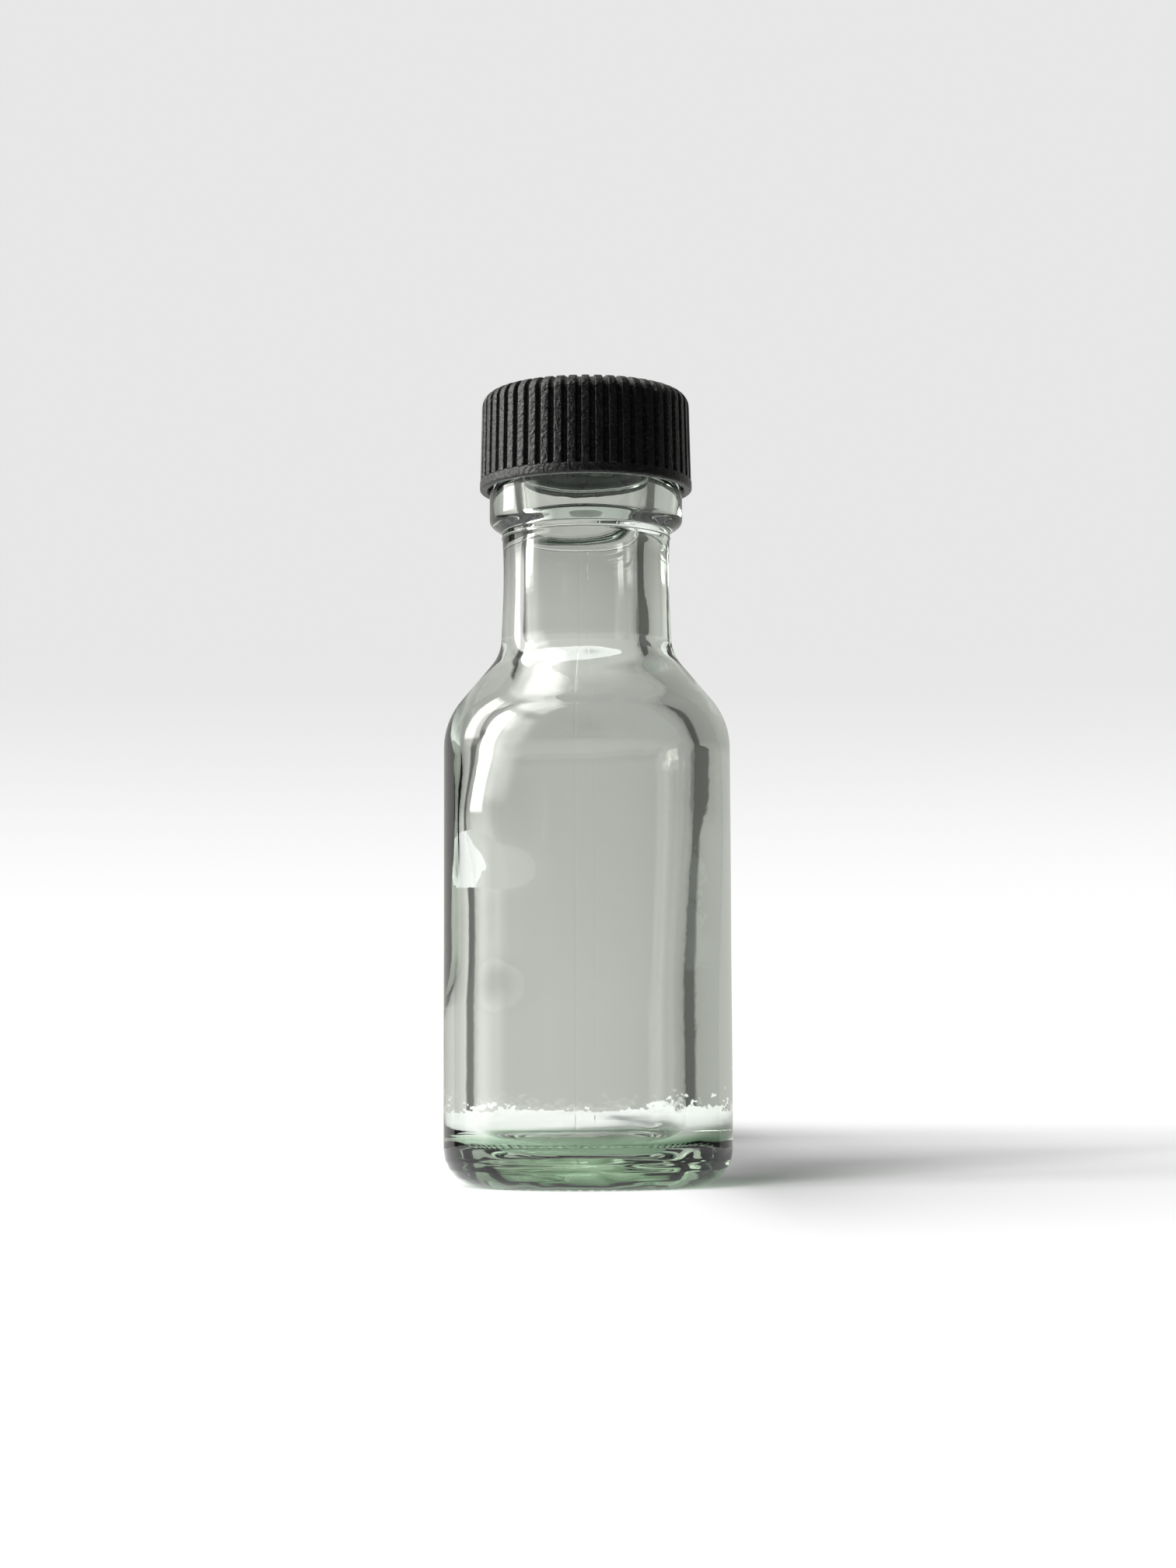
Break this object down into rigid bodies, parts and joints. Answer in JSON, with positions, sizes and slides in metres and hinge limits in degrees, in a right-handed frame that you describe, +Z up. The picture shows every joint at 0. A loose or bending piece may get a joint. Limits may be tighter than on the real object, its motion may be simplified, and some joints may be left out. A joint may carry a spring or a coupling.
{
  "type": "aftershave bottle",
  "caption": "Small round clear-glass bottle with a sloping shoulder, collared neck and black ribbed screw cap, made to hold and sprinkle aftershave.",
  "frame": {"origin": "centre of the resting plane under the bottle", "axes": "+Z up the bottle's axis, towards the cap; the bottle is round, so +X and +Y are free, and the front is taken as -Y"},
  "size_m": [0.0368, 0.0368, 0.1023],
  "materials": {
    "flint_glass": "polished, slightly wavy inside",
    "black_polypropylene": "moulded satin with a fine mottle",
    "natural_polyethylene": "milky, translucent",
    "foam_wad": "fine closed foam",
    "liner_film": "smooth film"
  },
  "bodies": {
    "bottle": {"glass_bottle": "flint_glass", "orifice_reducer": "natural_polyethylene"},
    "liner": {"liner_wad": "foam_wad", "liner_facing": "liner_film"},
    "cap": {"screw_cap": "black_polypropylene"}
  },
  "joints": [
    {"name": "cap_rise", "type": "slide", "parent": "bottle", "child": "liner", "axis": [0, 0, 1], "range_m": [0, 0.01271]},
    {"name": "cap_turn", "type": "hinge", "parent": "liner", "child": "cap", "pos_m": [0, 0, 0.096], "axis": [0, 0, 1], "range_deg": [0, 1440]}
  ],
  "couplings": [
    {"joint": "cap_rise", "follows": "cap_turn", "m_per_rad": 0.00050532}
  ]
}
